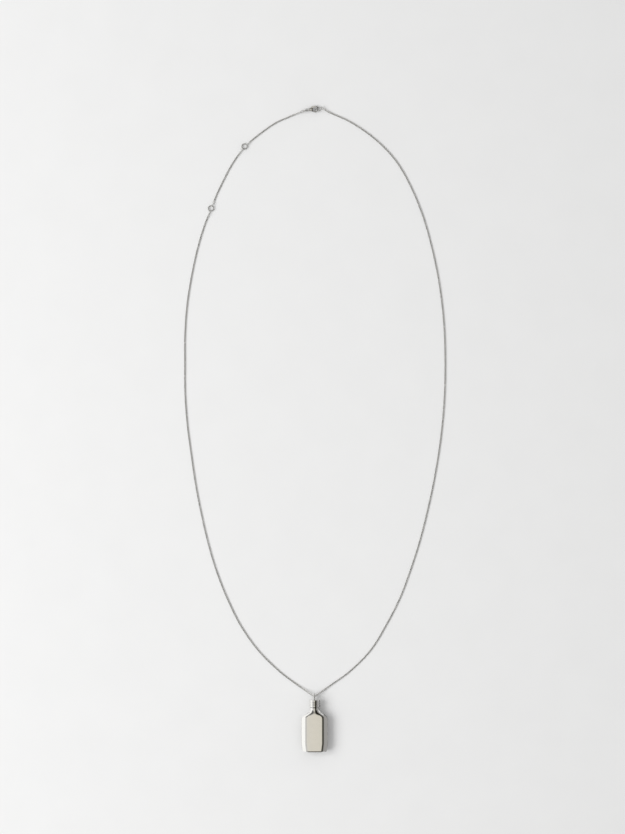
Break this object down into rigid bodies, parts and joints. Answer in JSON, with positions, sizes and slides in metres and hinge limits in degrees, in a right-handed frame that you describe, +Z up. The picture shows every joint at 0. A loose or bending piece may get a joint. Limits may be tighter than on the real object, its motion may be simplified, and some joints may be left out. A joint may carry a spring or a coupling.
{
  "type": "pendant necklace",
  "caption": "Fine chain necklace with length-adjusting rings, a lobster clasp and a hollow flask-shaped screw-cap pendant.",
  "frame": {"origin": "middle of the pendant's flat back, on the surface the necklace lies on", "axes": "+X to the right, +Y from the pendant towards the clasp, +Z up out of the surface; the pendant's face is up"},
  "size_m": [0.1809, 0.4446, 0.0082],
  "materials": {
    "flask": "polished silver",
    "chain": "bright silver links",
    "findings": "polished silver",
    "spring": "drawn spring wire",
    "seal": "matt pale rubber"
  },
  "bodies": {
    "chain": {"chain_main": "chain", "chain_middle": "chain", "chain_top": "chain", "end_link_main_left": "chain", "end_link_main_right": "chain", "end_link_middle_upper": "chain", "end_link_middle_lower": "chain", "end_link_top_clasp": "chain", "end_link_top_lower": "chain"},
    "upper_adjuster_ring": {"adjuster_ring_1": "findings"},
    "lower_adjuster_ring": {"adjuster_ring_2": "findings"},
    "jump_ring": {"clasp_jump_ring": "findings"},
    "caught_ring": {"end_ring": "findings"},
    "clasp": {"clasp_body": "findings", "clasp_rivet": "findings", "clasp_spring": "spring"},
    "lever": {"clasp_lever": "findings"},
    "cap": {"cap_shell": "flask", "bail_ring": "findings"},
    "seal": {"cap_seal": "seal"},
    "flask": {"flask_body": "flask", "flask_base": "flask"}
  },
  "joints": [
    {"name": "upper_adjuster_turn", "type": "hinge", "parent": "chain", "child": "upper_adjuster_ring", "pos_m": [-0.04812, 0.40464, 0.00097], "axis": [0.676, 0.7369, 0], "range_deg": [-20, 20]},
    {"name": "lower_adjuster_turn", "type": "hinge", "parent": "chain", "child": "lower_adjuster_ring", "pos_m": [-0.07134, 0.36208, 0.00097], "axis": [0.3562, 0.9344, 0], "range_deg": [-20, 20]},
    {"name": "jump_ring_turn", "type": "hinge", "parent": "chain", "child": "jump_ring", "pos_m": [-0.00653, 0.4294, 0.00161], "axis": [0.9638, 0.2379, -0.1205], "range_deg": [-12, 12]},
    {"name": "end_ring_turn", "type": "hinge", "parent": "chain", "child": "caught_ring", "pos_m": [0.00271, 0.43065, 0.00169], "axis": [0.9626, 0.239, 0.1274], "range_deg": [-12, 4]},
    {"name": "clasp_roll", "type": "hinge", "parent": "chain", "child": "clasp", "pos_m": [-0.00224, 0.42995, 0.00142], "axis": [0.9978, 0.0656, 0], "range_deg": [-4, 12]},
    {"name": "lever_open", "type": "hinge", "parent": "clasp", "child": "lever", "pos_m": [-0.00254, 0.43064, 0.00142], "axis": [0, 0, -1], "range_deg": [0, 12], "stiffness_Nm_per_rad": 0.002, "springref_deg": -20.05, "deforming": ["clasp_spring"]},
    {"name": "pendant_swing", "type": "hinge", "parent": "chain", "child": "cap", "pos_m": [0, 0.0262, 0.0035], "axis": [1, 0, 0], "range_deg": [-100, 100]},
    {"name": "seal_follow", "type": "slide", "parent": "cap", "child": "seal", "axis": [0, -1, 0], "range_m": [0, 0.00221]},
    {"name": "cap_unscrew", "type": "hinge", "parent": "seal", "child": "flask", "pos_m": [0, 0.02, 0.0041], "axis": [0, -1, 0], "range_deg": [0, 720]}
  ],
  "couplings": [
    {"joint": "seal_follow", "follows": "cap_unscrew", "m_per_rad": 0.00017507}
  ]
}
